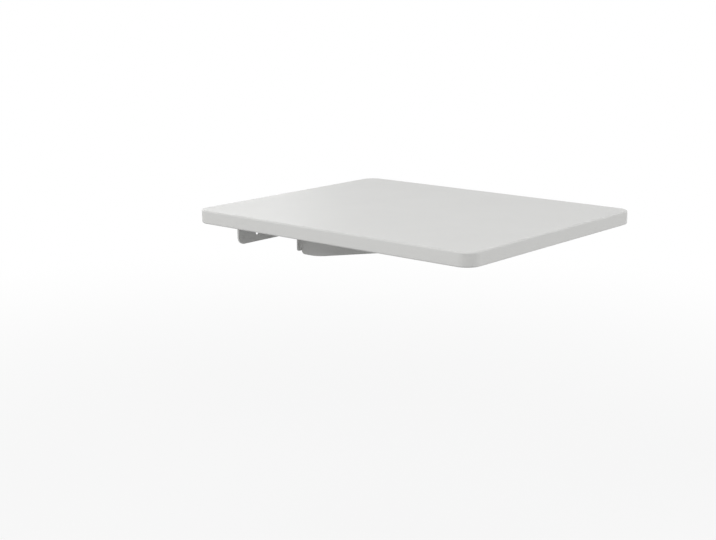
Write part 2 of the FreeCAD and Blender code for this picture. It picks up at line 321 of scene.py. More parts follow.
class Sheet(Surface):
    """Sheet or slab in plan coordinates, with a profile carried round each of its edges."""

    def __init__(self, placement: Plane | Fold) -> None:
        """Start an empty sheet.

        Args:
            placement: Where its plan is laid in space.
        """
        super().__init__()
        self.placement = placement
        self.normals: list[Array] = []

    def add_rim(self, loop: Path, profile: Path) -> Array:
        """Carry an edge profile round a closed loop.

        A point lies at loop + inset * inward, at the profile's height. Its normal is the profile's
        normal (-rise, run), laid along inward and up.

        Args:
            loop: Closed loop with the material to its left.
            profile: Path in the plane of inset and height, from the lower face to the upper one.

        Returns:
            Index of each point, one row for each point of the profile.
        """
        inset, height = profile.points.T
        run, rise = profile.tangents.T
        inward = loop.inward()
        plan = np.empty((len(inset), len(inward), 3))
        plan[..., :2] = loop.points + inset[:, None, None] * inward
        plan[..., 2] = height[:, None]
        normals = np.empty_like(plan)
        normals[..., :2] = -rise[:, None, None] * inward
        normals[..., 2] = run[:, None]
        self.normals.append(normals.reshape(-1, 3))
        return self.add_grid(plan)

    def add_cap(self, rings: list[Array], side: Side) -> None:
        """Fill the flat face inside the first ring and outside the others.

        Args:
            rings: Indices of the points round the face, then of those round each hole in it.
            side: The face of the sheet that is filled.
        """
        plan = np.concatenate(self.points)
        lines = [[Vector((*plan[index, :2], 0.0)) for index in ring] for ring in rings]
        triangles = np.concatenate(rings)[np.array(tessellate_polygon(lines))]
        first, second, third = (plan[triangles[:, column], :2] for column in range(3))
        area = np.cross(second - first, third - first)
        wrong = area < 0 if side is Side.UPPER else area > 0
        triangles[wrong] = triangles[wrong][:, ::-1]
        self.add_faces(triangles)

    def fill(self, rim: Array, pockets: tuple[Array, ...] = ()) -> None:
        """Fill both faces inside a rim, and leave the mouths of pockets in the lower one open."""
        self.add_cap([rim[0]] + [pocket[0] for pocket in pockets], Side.LOWER)
        self.add_cap([rim[-1]], Side.UPPER)

    def sheet_piece(self, name: str) -> Piece:
        """Put the sheet in its place and make the object.

        Args:
            name: Name of the piece.

        Returns:
            The linked object.
        """
        plan = np.concatenate(self.points)
        self.points = [self.placement.points(plan)]
        return self.piece(name, self.placement.vectors(plan, np.concatenate(self.normals)))


# Nodes


def wire(node: Node, inputs: dict[str | int, object]) -> None:
    """Link a socket to each input, or write a value on it.

    Args:
        node: The node.
        inputs: Socket or value for each input, by name or place.
    """
    for label, value in inputs.items():
        if isinstance(value, Socket):
            node.id_data.links.new(value, node.inputs[label])
        else:
            node.inputs[label].default_value = value


def add_node(tree: Tree, kind: str, inputs: dict[str | int, object], **settings: object) -> Node:
    """Add a node and wire it.

    Args:
        tree: Nodes that it is added to.
        kind: Its type, without "ShaderNode".
        inputs: Socket or value for each input, by name or place.
        settings: Value of each property of the node.

    Returns:
        The node.
    """
    node = tree.nodes.new("ShaderNode" + kind)
    for name, value in settings.items():
        setattr(node, name, value)
    wire(node, inputs)
    return node


def add_math(tree: Tree, operation: str, *values: Socket | float) -> Socket:
    """Result of a maths node on sockets or numbers."""
    return add_node(tree, "Math", dict(enumerate(values)), operation=operation).outputs[0]


def largest(tree: Tree, sockets: list[Socket]) -> Socket:
    """Largest of several sockets.

    Args:
        tree: Nodes that the maths is added to.
        sockets: The sockets.

    Returns:
        The result.
    """
    result = sockets[0]
    for socket in sockets[1:]:
        result = add_math(tree, "MAXIMUM", result, socket)
    return result


def object_place(tree: Tree, scale: Triple, turn: Triple = (0.0, 0.0, 0.0)) -> Socket:
    """Object coordinates, turned and then stretched.

    Args:
        tree: Nodes of a material.
        scale: Stretch along each axis.
        turn: Turn about each axis, in degrees.

    Returns:
        The coordinates.
    """
    place = tree.nodes.new("ShaderNodeTexCoord").outputs["Object"]
    for label, value in {"Rotation": [math.radians(angle) for angle in turn], "Scale": scale}.items():
        place = add_node(tree, "Mapping", {"Vector": place, label: value}).outputs["Vector"]
    return place


def new_group(name: str, inputs: dict[str, float | tuple[float, ...]], output: str) -> Tree:
    """Make an empty node group that reads a vector, a scale and the named inputs.

    Args:
        name: Name of the group.
        inputs: Default value of each named input: a number, or a colour of four values.
        output: Name of the output, which is a colour if it is "Color", and a number otherwise.

    Returns:
        The group, with its input and output nodes named "In" and "Out".
    """
    group = bpy.data.node_groups.new(name, "ShaderNodeTree")
    group.interface.new_socket("Vector", in_out="INPUT", socket_type="NodeSocketVector")
    for label, value in {"Scale": 10.0, **inputs}.items():
        kind = "NodeSocketFloat" if isinstance(value, float) else "NodeSocketColor"
        group.interface.new_socket(label, in_out="INPUT", socket_type=kind).default_value = value
    kind = "NodeSocketColor" if output == "Color" else "NodeSocketFloat"
    group.interface.new_socket(output, in_out="OUTPUT", socket_type=kind)
    group.nodes.new("NodeGroupInput").name = "In"
    group.nodes.new("NodeGroupOutput").name = "Out"
    return group


def add_noise(group: Tree, detail: float, finer: float = 1.0) -> Socket:
    """Noise on a group's vector.

    Args:
        group: The group, with its input node.
        detail: Octaves of the noise.
        finer: How many times finer it is than the group's scale says.

    Returns:
        The noise, from 0 to 1.
    """
    source = group.nodes["In"].outputs
    scale = add_math(group, "MULTIPLY", source["Scale"], finer)
    noise = add_node(group, "TexNoise", {"Vector": source["Vector"], "Scale": scale, "Detail": detail})
    return noise.outputs["Fac"]


def add_swing(group: Tree, detail: float) -> Socket:
    """Change from place to place: amount * (noise - 0.5)."""
    centred = add_math(group, "SUBTRACT", add_noise(group, detail), 0.5)
    return add_math(group, "MULTIPLY", centred, group.nodes["In"].outputs["Amount"])


@dataclass(frozen=True)
class Effects:
    """Node groups that more than one finish uses."""

    tone_drift: Tree
    sheen_patches: Tree
    fine_grain: Tree

    @classmethod
    def build(cls) -> "Effects":
        """Build every group once."""
        return cls(cls.build_tone_drift(), cls.build_sheen_patches(), cls.build_fine_grain())

    @staticmethod
    def build_tone_drift() -> Tree:
        """Colour that drifts a little lighter and darker: colour * (1 + 2 * swing).

        Returns:
            The group.
        """
        group = new_group("tone_drift", {"Color": (0.8, 0.8, 0.8, 1.0), "Amount": 0.03}, "Color")
        factor = add_math(group, "MULTIPLY_ADD", add_swing(group, detail=3.0), 2.0, 1.0)
        inputs = {0: group.nodes["In"].outputs["Color"], "Scale": factor}
        drifted = add_node(group, "VectorMath", inputs, operation="SCALE")
        wire(group.nodes["Out"], {"Color": drifted.outputs[0]})
        return group

    @staticmethod
    def build_sheen_patches() -> Tree:
        """Roughness with faint patches left by handling: roughness + swing.

        Returns:
            The group.
        """
        group = new_group("sheen_patches", {"Roughness": 0.4, "Amount": 0.1}, "Roughness")
        roughness = group.nodes["In"].outputs["Roughness"]
        patched = add_math(group, "ADD", add_swing(group, detail=5.0), roughness)
        wire(group.nodes["Out"], {"Roughness": patched})
        return group

    @staticmethod
    def build_fine_grain() -> Tree:
        """Height of a fine surface: coarse noise plus a share of noise five times finer.

        Returns:
            The group.
        """
        group = new_group("fine_grain", {"Share": 0.3}, "Height")
        coarse = add_noise(group, detail=1.0)
        fine = add_noise(group, detail=1.0, finer=5.0)
        share = group.nodes["In"].outputs["Share"]
        wire(group.nodes["Out"], {"Height": add_math(group, "MULTIPLY_ADD", fine, share, coarse)})
        return group


# Finishes


@dataclass(frozen=True)
class Pattern:
    """How strong a pattern is, and about how long its features are, in millimetres."""

    amount: float
    size: float


@dataclass(frozen=True)
class Finish:
    """Surface whose colour, sheen and height change a little from place to place.

    Colours are linear. The grain's amount is its height in millimetres.
    """

    name: str
    colour: Triple
    roughness: float
    tone: Pattern
    sheen: Pattern
    grain: Pattern
    fine_share: float = 0.3
    metallic: float = 0.0
    fuzz: float = 0.0
    stretch: Triple = (1.0, 1.0, 1.0)

    def material(self, effects: Effects) -> Material:
        """Make the material.

        Args:
            effects: The shared node groups.

        Returns:
            Material on object coordinates.
        """
        material = bpy.data.materials.new(self.name)
        material.use_nodes = True
        tree = material.node_tree
        place = object_place(tree, self.stretch)
        tone = {"Color": self.colour_source(tree), "Amount": self.tone.amount}
        sheen = {"Roughness": self.roughness, "Amount": self.sheen.amount}
        height = self.effect(effects.fine_grain, place, self.grain, {"Share": self.fine_share})
        bump = {"Strength": 1.0, "Distance": self.grain.amount * MM, "Height": height}
        shader = {
            "Base Color": self.effect(effects.tone_drift, place, self.tone, tone),
            "Roughness": self.effect(effects.sheen_patches, place, self.sheen, sheen),
            "Normal": add_node(tree, "Bump", bump).outputs["Normal"],
            "Metallic": self.metallic,
            "Sheen Weight": self.fuzz,
        }
        wire(tree.nodes["Principled BSDF"], shader)
        return material

    def colour_source(self, tree: Tree) -> Socket | tuple[float, ...]:
        """The finish's own colour, as the value of a colour socket."""
        return (*self.colour, 1.0)

    @staticmethod
    def effect(group: Tree, place: Socket, pattern: Pattern, values: dict[str, object]) -> Socket:
        """Output of a shared group that reads a place and has features of the pattern's size."""
        inputs = {"Vector": place, "Scale": 1.0 / (pattern.size * MM), **values}
        return add_node(place.id_data, "Group", inputs, node_tree=group).outputs[0]


@dataclass(frozen=True)
class Felt(Finish):
    """Pressed wool: pale and dark fibres that lie in three directions."""

    pale_share: float = 1.38
    dark_share: float = 0.56
    dark_below: float = 0.44
    pale_above: float = 0.74
    fibre_width: float = 0.16
    fibre_length: float = 2.4
    fibre_detail: float = 2.0
    fibre_turns: tuple[Triple, ...] = ((20.0, 35.0, 50.0), (80.0, 15.0, 110.0), (140.0, 60.0, 170.0))

    def colour_source(self, tree: Tree) -> Socket:
        """Colours of the fibres.

        Each direction has noise that is stretched along it, to a fibre's length by a fibre's width.
        The palest of the three shows, as the fibre on top does.

        Args:
            tree: The material's nodes.

        Returns:
            The colour.
        """
        top = largest(tree, [self.fibres(tree, turn) for turn in self.fibre_turns])
        ramp = add_node(tree, "ValToRGB", {"Fac": top})
        stops = ((self.dark_below, self.dark_share), (self.pale_above, self.pale_share))
        for element, (position, share) in zip(ramp.color_ramp.elements, stops):
            element.position = position
            element.color = (*(share * part for part in self.colour), 1.0)
        return ramp.outputs["Color"]

    def fibres(self, tree: Tree, turn: Triple) -> Socket:
        """Noise stretched along one direction.

        Args:
            tree: The material's nodes.
            turn: Turn of that direction from the X axis, in degrees.

        Returns:
            The noise, from 0 to 1.
        """
        across = 1.0 / (self.fibre_width * MM)
        place = object_place(tree, (1.0 / (self.fibre_length * MM), across, across), turn)
        noise = add_node(tree, "TexNoise", {"Vector": place, "Scale": 1.0, "Detail": self.fibre_detail})
        return noise.outputs["Fac"]


LACQUER = Finish(
    name="satin_lacquer",
    colour=(0.60, 0.60, 0.588),
    roughness=0.40,
    tone=Pattern(0.012, 120.0),
    sheen=Pattern(0.10, 45.0),
    grain=Pattern(0.08, 1.4),
    fine_share=0.1,
)
POWDER_COAT = Finish(
    name="powder_coat",
    colour=(0.60, 0.60, 0.588),
    roughness=0.48,
    tone=Pattern(0.02, 40.0),
    sheen=Pattern(0.10, 18.0),
    grain=Pattern(0.055, 0.9),
    fine_share=0.2,
)
ZINC = Finish(
    name="bright_zinc",
    colour=(0.74, 0.75, 0.77),
    roughness=0.27,
    tone=Pattern(0.10, 3.0),
    sheen=Pattern(0.25, 1.5),
    grain=Pattern(0.004, 0.5),
    metallic=1.0,
    stretch=(1.0, 1.0, 3.0),
)
BRASS = Finish(
    name="turned_brass",
    colour=(0.78, 0.62, 0.34),
    roughness=0.30,
    tone=Pattern(0.12, 4.0),
    sheen=Pattern(0.20, 2.0),
    grain=Pattern(0.006, 2.0),
    metallic=1.0,
    stretch=(1.0, 1.0, 12.0),
)
FELT = Felt(
    name="pressed_felt",
    colour=(0.42, 0.42, 0.43),
    roughness=0.95,
    tone=Pattern(0.10, 6.0),
    sheen=Pattern(0.05, 5.0),
    grain=Pattern(0.12, 0.5),
    fine_share=0.6,
    fuzz=0.35,
)


# Parts


@dataclass(frozen=True)
class Layout:
    """Heights and places that several parts share: the carrier plate, its screws and the web's tabs."""

    plate_bottom: float = 1.0
    plate_thickness: float = 3.0
    tabs: tuple[float, ...] = (79.22, 212.5, 345.78)
    screws_one_side: tuple[Pair, ...] = ((32.5, 90.0), (215.0, 19.0), (400.5, 19.0))

    def screws(self) -> Array:
        """X and Y of every screw, shape (count, 2)."""
        one_side = np.array(self.screws_one_side)
        return np.concatenate([one_side, one_side * [1.0, -1.0]])


LAYOUT = Layout()


def box_mm(node: str) -> tuple[Array, Array]:
    """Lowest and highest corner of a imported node, in millimetres."""
    low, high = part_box(node)
    return np.array(low) / MM, np.array(high) / MM


class Part:
    """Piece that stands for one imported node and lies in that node's box."""

    name: str
    node: str
    slot: Slot
    finish: Finish

    def build(self, effects: Effects) -> Piece:
        """Make the piece, dress it and report it.

        Args:
            effects: The shared node groups.

        Returns:
            The finished piece.
        """
        piece = self.make()
        mesh = piece.data
        mesh.materials.append(self.finish.material(effects))
        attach(piece, BODY)
        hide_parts(self.node)
        LOGGER.info("%s: %d points, %d faces", self.name, len(mesh.vertices), len(mesh.polygons))
        return piece

    def make(self) -> Piece:
        """Make the bare piece."""
        raise NotImplementedError


@dataclass(frozen=True)
class Board(Part):
    """Lacquered board with rounded corners and arrises, and a pocket for each insert."""

    name: str = "board_lacquered"
    node: str = "board"
    slot: Slot = Slot.BOARD
    finish: Finish = LACQUER
    corner_radius: float = 22.0
    arris_radius: float = 2.5
    pocket_radius: float = 5.05
    pocket_depth: float = 13.0
    pocket_edge: float = 0.25
    pocket_land: float = 0.75
    pocket_points: int = 48

    def make(self) -> Piece:
        """Make the bare board.

        Returns:
            Its piece.
        """
        low, high = box_mm(self.node)
        sheet = Sheet(Plane((0.0, 0.0, low[2]), (1, 0, 0), (0, 1, 0), (0, 0, 1)))
        outline = rounded_path(rectangle(low[:2], high[:2]), np.full(4, self.corner_radius), steps=20)
        profile = edge_profile(high[2] - low[2], self.arris_radius, support=2.0, steps=8)
        rim = sheet.add_rim(outline, profile)
        sheet.fill(rim, tuple(self.add_pocket(sheet, place) for place in LAYOUT.screws()))
        return sheet.sheet_piece(self.name)

    def add_pocket(self, sheet: Sheet, place: Array) -> Array:
        """Add a blind hole in the underside.

        Args:
            sheet: The board's sheet.
            place: X and Y of the hole.

        Returns:
            Indices of its points, from its mouth up to its floor.
        """
        depth, edge = self.pocket_depth, self.pocket_edge
        corners = [(self.pocket_land, 0.0), (0.0, 0.0), (0.0, depth), (-self.pocket_radius / 2, depth)]
        profile = rounded_path(corners, [0.0, edge, edge, 0.0], steps=4, closed=False)
        rows = sheet.add_rim(circle_path(place, self.pocket_radius, self.pocket_points), profile)
        sheet.add_faces(rows[-1:])
        return rows


@dataclass(frozen=True)
class CarrierPlate(Part):
    """Folded sheet: a T under the board, a quarter bend and the hook's leg."""

    name: str = "carrier_folded"
    node: str = "carrier_plate"
    slot: Slot = Slot.BRACKET
    finish: Finish = POWDER_COAT
    thickness: float = LAYOUT.plate_thickness
    edge_radius: float = 0.45
    edge_support: float = 0.8
    bend_inner_radius: float = 3.0
    bend_steps: int = 10
    leg_corner_radius: float = 12.0
    shoulder_x: float = 52.5
    shoulder_corner_radius: float = 12.0
    shoulder_blend_radius: float = 30.0
    stem_width: float = 60.0
    stem_corner_radius: float = 12.0
    screw_hole_radius: float = 3.3
    slot_half_size: Pair = (9.15, 2.65)
    slot_radius: float = 0.4
    leg_hole_y: float = 70.0
    leg_hole_z: float = -32.0
    leg_hole_radius: float = 2.75
    leg_hole_land: float = 0.6
    leg_sink: float = 1.75
    leg_sink_edge: float = 0.2

    def make(self) -> Piece:
        """Make the bare carrier plate.

        One rim runs round the whole flat pattern. Each face is filled in three: the T, the leg, and
        the quads of the bend between them.

        Returns:
            Its piece.
        """
        low, high = box_mm(self.node)
        length = np.pi / 2 * (self.bend_inner_radius + self.thickness / 2)
        centre_x = low[0] + self.bend_inner_radius + self.thickness
        centre_z = LAYOUT.plate_bottom - self.bend_inner_radius
        fold = Fold((centre_x, 0.0, centre_z), self.bend_inner_radius, length)
        sheet = Sheet(fold)

        half = high[1]
        flat = self.flat_path(high[0] - centre_x, half, self.shoulder_x - centre_x)
        s = -length * np.arange(1, self.bend_steps) / self.bend_steps
        side = Path(np.stack([s, np.full_like(s, half)], axis=1), np.tile([-1.0, 0.0], (len(s), 1)))
        leg_corners = rectangle((-length, half), (-length - (centre_z - low[2]), -half))
        leg_radii = [0.0, self.leg_corner_radius, self.leg_corner_radius, 0.0]
        leg = rounded_path(leg_corners, leg_radii, steps=12, closed=False)
        other_side = Path(side.points[::-1] * [1, -1], side.tangents[::-1] * [-1, 1])
        profile = edge_profile(self.thickness, self.edge_radius, self.edge_support, steps=3)
        rim = sheet.add_rim(joined([flat, side, leg, other_side]), profile)
        flat_holes, leg_holes = self.add_holes(sheet, fold)

        flat_stop = len(flat.points)
        leg_start = flat_stop + len(s)
        leg_stop = leg_start + len(leg.points)
        for face in Side:
            ring = rim[face.value]
            sheet.add_cap([ring[:flat_stop]] + [hole[face.value] for hole in flat_holes], face)
            sheet.add_cap([ring[leg_start:leg_stop]] + [hole[face.value] for hole in leg_holes], face)
            plus = ring[flat_stop - 1 : leg_start + 1]
            minus = np.append(ring[leg_stop - 1 :], ring[0])[::-1]
            left, right = (plus, minus) if face is Side.UPPER else (minus, plus)
            sheet.add_faces(np.stack([left[:-1], left[1:], right[1:], right[:-1]], axis=1))
        return sheet.sheet_piece(self.name)

    def flat_path(self, length: float, half_hook: float, shoulder: float) -> Path:
        """T-shaped line from one end of the bend round to the other.

        Args:
            length: Distance from the bend to the stem's end.
            half_hook: Half the hook's width.
            shoulder: Distance from the bend to the shoulders.

        Returns:
            Open path in the flat pattern.
        """
        half_stem = self.stem_width / 2
        one_side = np.array(
            [(0.0, -half_hook), (shoulder, -half_hook), (shoulder, -half_stem), (length, -half_stem)]
        )
        corners = np.concatenate([one_side, one_side[::-1] * [1, -1]])
        radii = [0.0, self.shoulder_corner_radius, self.shoulder_blend_radius, self.stem_corner_radius]
        return rounded_path(corners, radii + radii[::-1], steps=12, closed=False)

    def add_holes(self, sheet: Sheet, fold: Fold) -> tuple[list[Array], list[Array]]:
        """Cut the screw holes and tab slots of the flat part, and the countersunk holes of the leg.

        Args:
            sheet: The plate's sheet.
            fold: The fold that it is laid over.

        Returns:
            Indices of each hole's points in the flat part, and in the leg.
        """
        centre_x, _, centre_z = fold.centre
        flat = [circle_path((x - centre_x, y), self.screw_hole_radius) for x, y in LAYOUT.screws()]
        clockwise = np.array(self.slot_half_size) * [[-1, -1], [-1, 1], [1, 1], [1, -1]]
        for x in LAYOUT.tabs:
            corners = np.array([x - centre_x, 0.0]) + clockwise
            flat.append(rounded_path(corners, np.full(4, self.slot_radius), steps=4))
        s = -fold.length + self.leg_hole_z - centre_z
        leg = [circle_path((s, y), self.leg_hole_radius) for y in (-self.leg_hole_y, self.leg_hole_y)]

        plain = edge_profile(self.thickness, self.edge_radius / 2, self.edge_support / 2, steps=2)
        top, sink, land, edge = self.thickness, self.leg_sink, self.leg_hole_land, self.leg_sink_edge
        section = [(land, 0.0), (0.0, 0.0), (0.0, top - sink), (sink, top), (sink + land, top)]
        sunk = rounded_path(section, [0.0, edge, edge, edge, 0.0], steps=3, closed=False)
        return [sheet.add_rim(loop, plain) for loop in flat], [sheet.add_rim(loop, sunk) for loop in leg]


@dataclass(frozen=True)
class BackPlate(Part):
    """Flat bar behind the web, which carries its root."""

    name: str = "back_plate_coated"
    node: str = "back_plate"
    slot: Slot = Slot.BRACKET
    finish: Finish = POWDER_COAT
    corner_radius: float = 3.0
    top_corner_radius: float = 0.8
    edge_radius: float = 0.45

    def make(self) -> Piece:
        """Make the bare back plate.

        Returns:
            Its piece.
        """
        low, high = box_mm(self.node)
        sheet = Sheet(Plane((low[0], 0.0, 0.0), (0, 1, 0), (0, 0, 1), (1, 0, 0)))
        radii = [self.corner_radius] * 2 + [self.top_corner_radius] * 2
        profile = edge_profile(high[0] - low[0], self.edge_radius, support=0.3, steps=3)
        sheet.fill(sheet.add_rim(rounded_path(rectangle(low[1:], high[1:]), radii, steps=8), profile))
        return sheet.sheet_piece(self.name)


@dataclass(frozen=True)
class SupportWeb(Part):
    """Tapered plate on edge: heel, short flat, belly arc, and a taper that leaves the arc as its tangent."""

    name: str = "web_coated"
    node: str = "support_web"
    slot: Slot = Slot.BRACKET
    finish: Finish = POWDER_COAT
    heel_radius: float = 7.0
    heel_flat: float = 10.0
    belly_radius: float = 190.0
    tip_depth: float = 10.0
    tip_radius: float = 5.0
    top_radius: float = 0.8
    edge_radius: float = 0.6
    half_tab: float = 9.0
    tab_root_radius: float = 0.3
    tab_top_radius: float = 0.8

    def make(self) -> Piece:
        """Make the bare web.

        Returns:
            Its piece.
        """
        low, high = box_mm(self.node)
        sheet = Sheet(Plane((0.0, high[1], 0.0), (1, 0, 0), (0, 0, 1), (0, -1, 0)))
        profile = edge_profile(high[1] - low[1], self.edge_radius, support=0.15, steps=4)
        sheet.fill(sheet.add_rim(self.outline(low, high), profile))
        return sheet.sheet_piece(self.name)

    def taper_slope(self, belly_centre: Array, tip: Array) -> float:
        """Slope of the line from the tip's corner that touches the belly circle.

        The tip's bearing from the circle's centre, less the angle whose cosine is radius over
        distance, is the bearing of the touching point, and the line stands square to it.

        Args:
            belly_centre: Centre of the belly arc.
            tip: Corner of the tip.

        Returns:
            Angle above the X axis.
        """
        reach = tip - belly_centre
        inside = math.acos(self.belly_radius / float(np.linalg.norm(reach)))
        return math.atan2(reach[1], reach[0]) - inside + math.pi / 2

    def outline(self, low: Array, high: Array) -> Path:
        """Closed line round the web and its tabs, in X and Z.

        Args:
            low: Lowest corner of the web's box.
            high: Highest corner of the web's box.

        Returns:
            Path with the web to its left.
        """
        bottom = LAYOUT.plate_bottom
        belly_start = low[0] + self.heel_radius + self.heel_flat
        belly_centre = np.array([belly_start, low[2] + self.belly_radius])
        tip = np.array([high[0], bottom - self.tip_depth])
        belly_corner = belly_start + self.belly_radius * math.tan(self.taper_slope(belly_centre, tip) / 2)
        corners = [(low[0], bottom), (low[0], low[2]), (belly_corner, low[2]), tuple(tip), (high[0], bottom)]
        radii = [self.top_radius, self.heel_radius, self.belly_radius, self.tip_radius, self.top_radius]
        for x in reversed(LAYOUT.tabs):
            right, left = x + self.half_tab, x - self.half_tab
            corners += [(right, bottom), (right, high[2]), (left, high[2]), (left, bottom)]
            radii += [self.tab_root_radius, self.tab_top_radius, self.tab_top_radius, self.tab_root_radius]
        return rounded_path(corners, radii, steps=16)


@dataclass(frozen=True)
class Bead:
    """One laid weld bead: the ends of its corner line, and the directions of its two legs."""

    start: Triple
    end: Triple
    first_side: Triple
    second_side: Triple
    open_start: bool = False

    def mirrored(self) -> "Bead":
        """The same bead on the other side of the XZ plane."""
        triples = (self.start, self.end, self.first_side, self.second_side)
        return Bead(*((x, -y, z) for x, y, z in triples), self.open_start)


@dataclass(frozen=True)
class WeldBeads(Part):
    """Fillet weld beads, rippled as they were laid and softened by the coating."""

    name: str
    node: str
    beads: tuple[Bead, ...]
    slot: Slot = Slot.BRACKET
    finish: Finish = POWDER_COAT
    leg: float = 3.0
    bulge: float = 0.35
    sink: float = 0.3
    toe_sink: float = 0.35
    ripple_pitch: float = 1.5
    ripple_height: float = 0.18
    ripple_waves: Pair = (0.35, 0.15)
    ripple_lag: float = 1.1
    row_spacing: float = 0.22
    face_points: int = 12
    end_points: int = 8
    end_size: float = 0.02

    def make(self) -> Piece:
        """Make each bead and its mirror image.

        Returns:
            Their piece.
        """
        surface = Surface()
        for bead in self.beads:
            self.add_bead(surface, bead)
            self.add_bead(surface, bead.mirrored())
        return surface.piece(self.name)

    def add_bead(self, surface: Surface, bead: Bead) -> None:
        """Sweep one bead along its corner line.

        Across the bead, w goes from 0 at the first toe to 1 at the second. The face is the chord
        between the toes, pushed out by (bulge + ripple) * sin(pi * w). The ripple is a rounded saw
        of the distance along the bead, which lags at the toes, so that its crests are crescents.
        The leg shrinks at an end as the square root of 1 - (1 - distance / leg) squared. The root
        and the toes are sunk into the plates.

        Args:
            surface: Surface that the bead is added to.
            bead: The bead.
        """
        start, end = np.array(bead.start), np.array(bead.end)
        length = float(np.linalg.norm(end - start))
        direction = (end - start) / length
        before = 0.0 if bead.open_start else self.leg
        total = before + length + self.leg
        along = self.rows_along(total, bead.open_start)
        from_start = np.full_like(along, self.leg) if bead.open_start else along
        distance = np.clip(np.minimum(from_start, total - along) / self.leg, 0.0, 1.0)
        size = np.maximum(np.sqrt(1 - (1 - distance) ** 2), self.end_size)[:, None]

        w = np.linspace(0.0, 1.0, self.face_points)
        arch = np.sin(np.pi * w)
        phase = 2 * np.pi * (along[:, None] / self.ripple_pitch + self.ripple_lag * arch)
        first_wave, second_wave = self.ripple_waves
        ripple = 0.5 + first_wave * np.sin(phase) + second_wave * np.sin(2 * phase)
        push = (self.bulge + self.ripple_height * ripple) * arch * size**2
        sunk = self.sink * np.append(1.0, self.toe_sink * (1 - arch))
        points = (start + direction * (along - before)[:, None])[:, None]
        for side, share in ((bead.first_side, 1 - w), (bead.second_side, w)):
            reach = np.pad(self.leg * size * share + push * DIAGONAL, ((0, 0), (1, 0))) - sunk
            points = points + np.array(side) * reach[..., None]
        flip = float(np.cross(bead.first_side, bead.second_side) @ direction) < 0
        surface.close_ends(surface.add_grid(points, flip=flip), flip)

    def rows_along(self, total: float, open_start: bool) -> Array:
        """Distance of each row along a bead, close together at its ends.

        Args:
            total: Length of the bead with its ends.
            open_start: Whether the bead starts inside another piece, and so has no end there.

        Returns:
            Distances from 0 to the total.
        """
        even = np.linspace(0.0, total, int(total / self.row_spacing) + 1)
        ease = self.leg * (1 - np.cos(np.linspace(0.0, np.pi / 2, self.end_points))[1:-1])
        ends = [total - ease] if open_start else [ease, total - ease]
        return np.unique(np.round(np.concatenate([even, *ends]), decimals=4))


@dataclass(frozen=True)
class Bracket:
    """Welded steel bracket: carrier plate, back plate, web and their weld beads."""

    plate: CarrierPlate = CarrierPlate()
    back_plate: BackPlate = BackPlate()
    web: SupportWeb = SupportWeb()
    stitch_length: float = 28.0
    stitch_shares: Pair = (0.05, 0.95)
    stitch_count: int = 4
    bead_gap: float = 1.0

    def build(self, effects: Effects) -> None:
        """Make the bracket's pieces.

        Args:
            effects: The shared node groups.
        """
        welds = (
            WeldBeads("stitch_welds", "web_top_welds", self.stitches()),
            WeldBeads("root_welds", "web_back_welds", (self.root_bead(),)),
            WeldBeads("cross_welds", "back_plate_welds", (self.cross_bead(),)),
        )
        for part in (self.plate, self.back_plate, self.web, *welds):
            part.build(effects)

    def stitches(self) -> tuple[Bead, ...]:
        """Stitches on the web's +Y side, under the carrier plate.

        Returns:
            One bead for each stitch.
        """
        low, high = box_mm(self.web.node)
        y, z = high[1], LAYOUT.plate_bottom
        half = self.stitch_length / 2
        first, last = low[0] + (high[0] - low[0]) * np.array(self.stitch_shares) + [half, -half]
        middles = np.linspace(first, last, self.stitch_count)
        return tuple(Bead((x - half, y, z), (x + half, y, z), (0, 1, 0), (0, 0, -1)) for x in middles)

    def root_bead(self) -> Bead:
        """Upright bead beside the web's root, on its +Y side.

        Returns:
            The bead.
        """
        low, high = box_mm(self.web.node)
        plate_low, _ = box_mm(self.back_plate.node)
        spare = WeldBeads.leg + self.bead_gap
        top = LAYOUT.plate_bottom - spare - WeldBeads.leg
        bottom = max(plate_low[2], low[2] + self.web.heel_radius) + spare
        return Bead((low[0], high[1], top), (low[0], high[1], bottom), (0, 1, 0), (1, 0, 0))

    def cross_bead(self) -> Bead:
        """Short bead between the back plate and the carrier plate, on the web's +Y side.

        Returns:
            The bead.
        """
        low, high = box_mm(self.web.node)
        _, plate_high = box_mm(self.back_plate.node)
        end = plate_high[1] - self.bead_gap - WeldBeads.leg
        z = LAYOUT.plate_bottom
        return Bead((low[0], high[1], z), (low[0], end, z), (1, 0, 0), (0, 0, -1), open_start=True)


